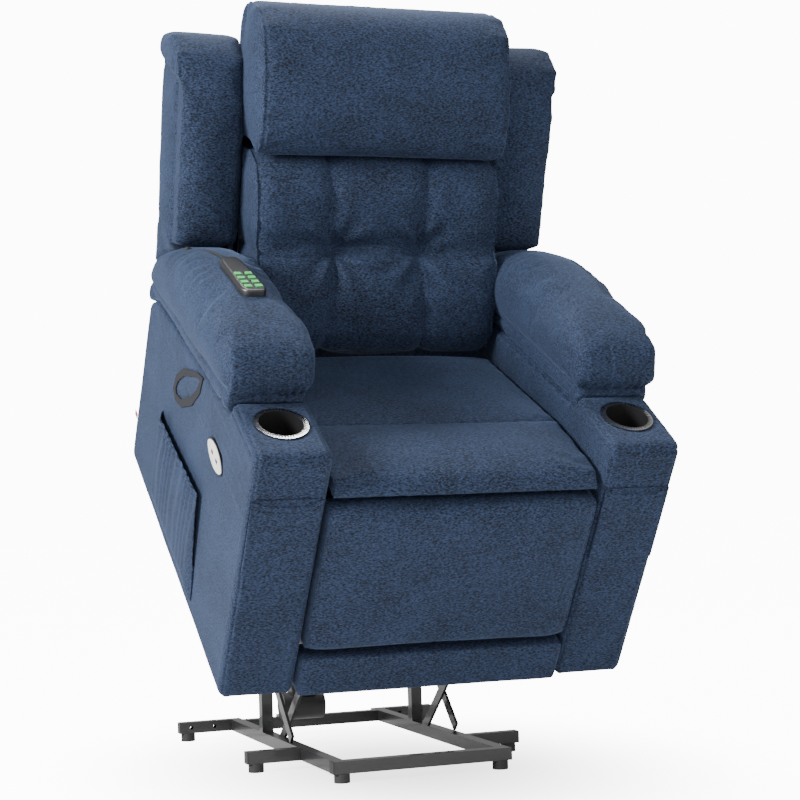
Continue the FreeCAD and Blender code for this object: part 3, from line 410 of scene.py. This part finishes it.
def wing_seams(sign):
    """An edge seam up the front outer corner, and the crease under the rolled cap on the outer side."""
    def seams(p, n):
        corner = np.hypot(sign * p[:, 0] - 0.414, np.maximum(0, p[:, 2] - CAP_LOW - 0.02))
        corner = np.where(p[:, 1] < -0.10, corner, 1.0)
        above = p[:, 2] - CAP_LOW - 0.2 * (p[:, 1] + 0.06)
        under_cap = np.hypot(above, np.maximum(0, 0.400 - sign * p[:, 0]))
        return np.minimum(corner, np.where(p[:, 1] > -0.15, under_cap, 1.0))
    return seams


def wing_cap(sign):
    """The cap swells over the outer side and the back, above its crease."""
    def shape(p, n):
        out = p.copy()
        above = 1 / (1 + np.exp(-(p[:, 2] - CAP_LOW - 0.2 * (p[:, 1] + 0.06)) * 260))
        outside = np.clip((sign * p[:, 0] - 0.33) / 0.07, 0, 1)
        out[:, 0] += sign * 0.008 * above * outside
        out[:, 1] += 0.006 * above * np.clip(n[:, 1], 0, 1)
        return out
    return shape


def pad_band(p):
    """How far a point is above the seam that runs round the pad's lower edge."""
    return p[:, 2] - (0.563 - np.maximum(0, p[:, 1] - 0.21) * 0.175)


def pad_seams(p, n):
    return np.abs(pad_band(p))


def pad_fullness(sign):
    """The stuffing is fullest at the front end and over the hump, and bulges past the arm's inner face."""
    def shape(p, n):
        out = p.copy()
        front = np.clip((0.42 - p[:, 1]) / 0.12, 0, 1)
        high = np.clip(pad_band(p) / 0.02, 0, 1)
        out[:, 0] -= sign * 0.009 * front * high * np.clip(-sign * n[:, 0], 0, 1)
        out[:, 0] += sign * 0.004 * high * np.clip(sign * n[:, 0], 0, 1)
        out[:, 1] -= 0.008 * front * high * np.clip(-n[:, 1], 0, 1)
        out[:, 2] += 0.009 * np.clip(n[:, 2], 0, 1) * np.clip((p[:, 1] - 0.40) / 0.12, 0, 1)
        return out
    return shape


PAD_GATHER = 0.0042


def pad_gathers(p, n):
    """The cover is gathered into the seam across the front end, with folds that run up from it."""
    above = pad_band(p)
    front = np.clip((0.245 - p[:, 1]) / 0.05, 0, 1)
    reach = np.exp(-np.clip(above, 0, 1) / 0.028) * (above > 0)
    folds = np.sin(p[:, 0] * 330 + 1.8 * np.sin(p[:, 0] * 61)) * (0.6 + 0.4 * np.sin(p[:, 0] * 97))
    return front * reach * PAD_GATHER * folds


for side, sign in (("left", 1), ("right", -1)):
    cushion("wing_%s_soft" % side, "wing_" + side, "backrest", BACK, wing_seams(sign), cap=0.010, rounding=9,
            shrink=0.002, slack=0.0018, extra=wing_cap(sign))
    cushion("arm_pad_%s_soft" % side, "arm_pad_" + side, "chassis", CHAIR, pad_seams, cap=0.022, rounding=12,
            slack=0.0020, pressure=5.0, shrink=-0.002, extra=pad_fullness(sign), gathers=pad_gathers)


def flap_seams(p, n):
    return np.abs(np.abs(p[:, 0]) - 0.266)


cushion("leg_rest_soft", "leg_rest_pad", "leg_panel", CHAIR, flap_seams, cap=0.008, rounding=3, shrink=0.0015,
        slack=0.0008)


# ---------------------------------------------------------------- covered panels
def upholster(name, node, body, place, rounding=5, voxel=0.006, seams=None, shape=None, swell=0.0):
    """A board or shell under stretched cloth: rounded edges, seam lines and a little slack."""
    obj = skin_of(name, node, place, voxel)
    relax(obj.data, rounding)
    subdivided(obj)
    points, normals = coords_of(obj.data), normals_of(obj.data)
    move = ripple(points, 34.0, 11) * 0.0007 + swell
    if seams is not None:
        near = seams(points, normals)
        move = move - valley(near, 0.003) * 0.0022 + valley(near - 0.008, 0.006) * 0.0008
        move = move + ripple(points, 300.0, 2) * valley(near, 0.02) * 0.0005
    points = points + normals * move[:, None]
    if shape is not None:
        points = shape(points, normals)
    set_coords(obj.data, points)
    return finish_piece(obj, body, (node,), NAVY)


def arm_seams(sign):
    def seams(p, n):
        outer = np.abs(sign * p[:, 0] - 0.418)
        inner = np.abs(sign * p[:, 0] - 0.284)
        top = np.hypot(p[:, 2] - 0.535, np.maximum(0, p[:, 1] - 0.19))
        near_rim = np.where((p[:, 1] < 0.02) | (p[:, 2] > 0.40), np.minimum(outer, inner), 1.0)
        return np.minimum(near_rim, top)
    return seams


for side, sign in (("left", 1), ("right", -1)):
    upholster("arm_%s_soft" % side, "arm_cover_" + side, "chassis", CHAIR, seams=arm_seams(sign))
upholster("back_cover_soft", "back_cover", "backrest", BACK)
upholster("front_panel_soft", "front_panel", "chassis", CHAIR)
upholster("rear_panel_soft", "rear_panel", "chassis", CHAIR, rounding=2)


def pocket_folds(p, n):
    """Elastic along the mouth gathers the pocket, and its folds run down and fade out."""
    out = p.copy()
    mouth = 0.282 - (p[:, 1] - 0.284) * 0.09
    below = np.clip(mouth - p[:, 2], 0, 1)
    outward = np.clip(-n[:, 0], 0, 1)
    folds = np.sin(p[:, 1] * 190 + 2.0 * np.sin(p[:, 1] * 37) + 1.2 * np.sin(p[:, 2] * 30))
    edge = np.clip(np.minimum(np.minimum(p[:, 1] - 0.258, 0.642 - p[:, 1]), p[:, 2] - 0.034) / 0.045, 0, 1)
    wall = -ARM_OUT - 0.0006
    out[:, 0] = wall + (out[:, 0] - wall) * (0.10 + 0.90 * np.sin(edge * 1.57))
    out[:, 0] -= outward * edge * (0.0030 * folds * np.exp(-below / 0.12) + 0.001)
    out[:, 0] += outward * 0.0018 * valley(below - 0.012, 0.004)
    return out


def front_pocket_shape(p, n):
    """A curved hem with a double seam across the mouth, and slack below it."""
    out = p.copy()
    middle = (np.abs(p[:, 0]) - 0.352) / 0.069
    mouth = 0.455 - 0.014 * (1 - middle ** 2)
    outward = np.clip(-n[:, 1], 0, 1)
    below = mouth - p[:, 2]
    out[:, 1] += outward * (0.0035 * (below < 0) + 0.0018 * valley(below - 0.010, 0.003))
    out[:, 1] -= outward * 0.0022 * np.sin(p[:, 0] * 90 + p[:, 2] * 25) * np.exp(-np.clip(below, 0, 1) / 0.05)
    return out


upholster("side_pocket_soft", "side_pocket", "chassis", CHAIR, rounding=2, voxel=0.003, shape=pocket_folds)
upholster("front_pockets_soft", "front_pockets", "chassis", CHAIR, rounding=2, voxel=0.003,
          shape=front_pocket_shape)


# ---------------------------------------------------------------- moulded and metal fittings
RIM_LOW, RIM_IN = 0.5505, 0.0475


def cup_holders():
    """A black well with a thin bright rim."""
    mesh = frame["nodes"]["cup_holders"].data.copy()
    mesh.transform(CHAIR.inverted())
    mesh.materials.clear()
    mesh.materials.append(LOOKS["handset_plastic"])
    mesh.materials.append(LOOKS["cup_metal"])
    for face in mesh.polygons:
        middle = sum((mesh.vertices[v].co for v in face.vertices), Vector()) / len(face.vertices)
        away = math.hypot(abs(middle.x) - CUP_X, middle.y - CUP_Y)
        face.material_index = 1 if middle.z > RIM_LOW and away > RIM_IN else 0
    obj = object_from("cup_holder_pair", mesh, CHAIR)
    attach(obj, "chassis")
    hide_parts("cup_holders")


def handset():
    """The moulded case, rounded all over and narrower towards the cord."""
    obj = skin_of("handset_case", "handset", HANDSET, 0.0013)
    points = coords_of(obj.data)
    along = np.clip(points[:, 1] / HANDSET_LONG + 0.5, 0, 1)
    end = np.clip((np.abs(points[:, 1]) - 0.055) / 0.0275, 0, 1)
    points[:, 0] *= (1 - 0.20 * along) * np.sqrt(np.clip(1 - 0.62 * end ** 2, 0.05, 1))
    set_coords(obj.data, points)
    relax(obj.data, 8)
    obj.data.materials.clear()
    obj.data.materials.append(LOOKS["handset_plastic"])
    obj.data.shade_smooth()
    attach(obj, "chassis")
    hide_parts("handset")


PLATE_STEPS = 48


def charging_plate():
    """A pointed oval plate in a thin dark surround."""
    wall = -ARM_OUT
    for name, slot, grow, front in (("plate_surround", "handset_plastic", 0.003, 0.0026),
                                    ("plate_face", "plate_plastic", 0.0, 0.0034)):
        outline = []
        for i in range(PLATE_STEPS):
            t = 2 * math.pi * i / PLATE_STEPS
            reach = (0.055 + grow) * math.cos(t)
            high = (0.0225 + grow) * math.copysign(abs(math.sin(t)) ** 1.25, math.sin(t))
            outline.append((reach, high))
        points = [(wall - front, PLATE_Y + a, PLATE_Z + b) for a, b in outline]
        points += [(wall - 0.0002, PLATE_Y + a, PLATE_Z + b) for a, b in outline]
        faces = [tuple(range(PLATE_STEPS))]
        for i in range(PLATE_STEPS):
            after = (i + 1) % PLATE_STEPS
            faces.append((i, i + PLATE_STEPS, after + PLATE_STEPS, after))
        mesh = bpy.data.meshes.new(name)
        mesh.from_pydata(points, [], faces)
        obj = object_from(name, mesh, CHAIR)
        fix_normals(obj)
        obj.data.materials.append(LOOKS[slot])
        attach(obj, "chassis")
        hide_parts("usb_plate")
    for i, offset in enumerate((-0.017, 0.017)):
        mesh = bpy.data.meshes.new("plate_socket")
        build = bmesh.new()
        bmesh.ops.create_cube(build, size=1.0)
        bmesh.ops.scale(build, vec=(0.0012, 0.012, 0.0065), verts=build.verts)
        bmesh.ops.translate(build, vec=(wall - 0.0033, PLATE_Y + offset, PLATE_Z), verts=build.verts)
        build.to_mesh(mesh)
        build.free()
        obj = object_from("plate_socket_%d" % (i + 1), mesh, CHAIR)
        obj.data.materials.append(LOOKS["handset_plastic"])
        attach(obj, "chassis")
        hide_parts("usb_plate")


def fix_normals(obj):
    build = bmesh.new()
    build.from_mesh(obj.data)
    bmesh.ops.recalc_face_normals(build, faces=build.faces)
    build.to_mesh(obj.data)
    build.free()


# ---------------------------------------------------------------- cord
def cord(name, route, radius, body, slot, node):
    curve = bpy.data.curves.new(name, "CURVE")
    curve.dimensions = "3D"
    curve.bevel_depth = radius
    curve.bevel_resolution = 5
    curve.resolution_u = 12
    spline = curve.splines.new("NURBS")
    spline.points.add(len(route) - 1)
    for point, at in zip(spline.points, route):
        point.co = (*at, 1.0)
    spline.order_u = 3
    spline.use_endpoint_u = True
    obj = bpy.data.objects.new(name, curve)
    bpy.context.scene.collection.objects.link(obj)
    curve.materials.append(LOOKS[slot])
    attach(obj, body)
    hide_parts(node)
    return obj


HANDSET_LONG = 0.165
HANDSET = CHAIR @ Matrix.Translation((-0.360, 0.435, 0.6636)) @ Matrix.Rotation(math.radians(-5.0), 4, "X") \
    @ Matrix.Rotation(math.radians(5.0), 4, "Z")
cup_holders()
handset()
charging_plate()
exit_point = CHAIR.inverted() @ (HANDSET @ Vector((0, HANDSET_LONG / 2, 0.0116)))
steps = ((0, 0, 0), (-0.006, 0.045, -0.009), (-0.017, 0.100, -0.029), (-0.031, 0.147, -0.055))
route = [exit_point + Vector(s) for s in steps]
route.append(route[-1] + Vector((0, 120, -49)).normalized() * 0.020 + Vector((-0.002, 0, 0)))
route = [CHAIR @ p for p in route]
flex = cord("handset_cord_curve", route, 0.0025, "chassis", "cord_rubber", "handset_cord")


# ---------------------------------------------------------------- floor, light and camera
LAMPS = (
    ("key", (-4.4, -1.0, 2.6), 1.5, 520.0),
    ("fill", (0.6, -4.6, 2.2), 2.0, 110.0),
    ("top", (0.2, 0.6, 4.4), 1.6, 150.0),
)


def studio():
    mesh = bpy.data.meshes.new("floor")
    mesh.from_pydata([(-14, -14, 0), (14, -14, 0), (14, 14, 0), (-14, 14, 0)], [], [(0, 1, 2, 3)])
    floor = object_from("floor", mesh, Matrix.Identity(4))
    mat, nodes, links, shader = new_material("floor_white")
    shader.inputs["Base Color"].default_value = (0.92, 0.92, 0.92, 1)
    shader.inputs["Roughness"].default_value = 0.6
    # The floor's glow is strength 24 far out and falls to 5 in a soft oval round the chair: a painted shadow
    # under the chair.
    where = add(nodes, "ShaderNodeTexCoord")
    spread = add(nodes, "ShaderNodeMapping", vector_type="POINT")
    spread.inputs["Location"].default_value = (0.0, 0.1, 0.0)
    spread.inputs["Scale"].default_value = (1.25, 0.85, 1.0)
    links.new(where.outputs["Object"], spread.inputs["Vector"])
    fade = add(nodes, "ShaderNodeTexGradient", gradient_type="SPHERICAL")
    links.new(spread.outputs["Vector"], fade.inputs["Vector"])
    soft = add(nodes, "ShaderNodeMapRange", interpolation_type="SMOOTHSTEP")
    soft.inputs["From Max"].default_value = 0.9
    soft.inputs["To Min"].default_value = 24.0
    soft.inputs["To Max"].default_value = 5.0
    links.new(fade.outputs["Fac"], soft.inputs["Value"])
    floor_glow_painted_shadow = add(nodes, "ShaderNodeEmission")
    links.new(soft.outputs["Result"], floor_glow_painted_shadow.inputs["Strength"])
    # Camera rays see this glow, with its painted shadow, mixed half and half with the lit floor.
    path = add(nodes, "ShaderNodeLightPath")
    share = math_node(nodes, links, "MULTIPLY", path.outputs["Is Camera Ray"], 0.5)
    both = add(nodes, "ShaderNodeMixShader")
    links.new(share, both.inputs[0])
    links.new(shader.outputs[0], both.inputs[1])
    links.new(floor_glow_painted_shadow.outputs[0], both.inputs[2])
    links.new(both.outputs[0], nodes["Material Output"].inputs["Surface"])
    mesh.materials.append(mat)
    world = bpy.data.worlds.new("studio")
    bpy.context.scene.world = world
    world.use_nodes = True
    links = world.node_tree.links
    lit = world.node_tree.nodes["Background"]
    lit.inputs["Strength"].default_value = 0.50
    seen = add(world.node_tree.nodes, "ShaderNodeBackground", Strength=12.0)
    both = add(world.node_tree.nodes, "ShaderNodeMixShader")
    path = add(world.node_tree.nodes, "ShaderNodeLightPath")
    for background in (lit, seen):
        background.inputs["Color"].default_value = (1.0, 1.0, 1.0, 1)
    links.new(path.outputs["Is Camera Ray"], both.inputs[0])
    links.new(lit.outputs[0], both.inputs[1])
    links.new(seen.outputs[0], both.inputs[2])
    links.new(both.outputs[0], world.node_tree.nodes["World Output"].inputs["Surface"])
    for name, at, size, power in LAMPS:
        light = bpy.data.lights.new(name, "AREA")
        light.energy = power
        light.size = size
        lamp = bpy.data.objects.new(name, light)
        bpy.context.scene.collection.objects.link(lamp)
        aim = Vector((0, 0, 0.75)) - Vector(at)
        lamp.matrix_world = Matrix.Translation(at) @ aim.to_track_quat("-Z", "Y").to_matrix().to_4x4()


def camera():
    eye = Vector((-1.39, -3.71 - ORIGIN_Y, 0.616))
    target = Vector((0.045, 0.2 - ORIGIN_Y, 0.758))
    data = bpy.data.cameras.new("camera")
    data.lens = 89.0
    data.sensor_width = 36.0
    obj = bpy.data.objects.new("camera", data)
    bpy.context.scene.collection.objects.link(obj)
    turn = (target - eye).to_track_quat("-Z", "Y").to_matrix().to_4x4()
    obj.matrix_world = Matrix.Translation(eye) @ turn @ Matrix.Rotation(math.radians(-1.725), 4, "Z")
    bpy.context.scene.camera = obj


studio()
camera()
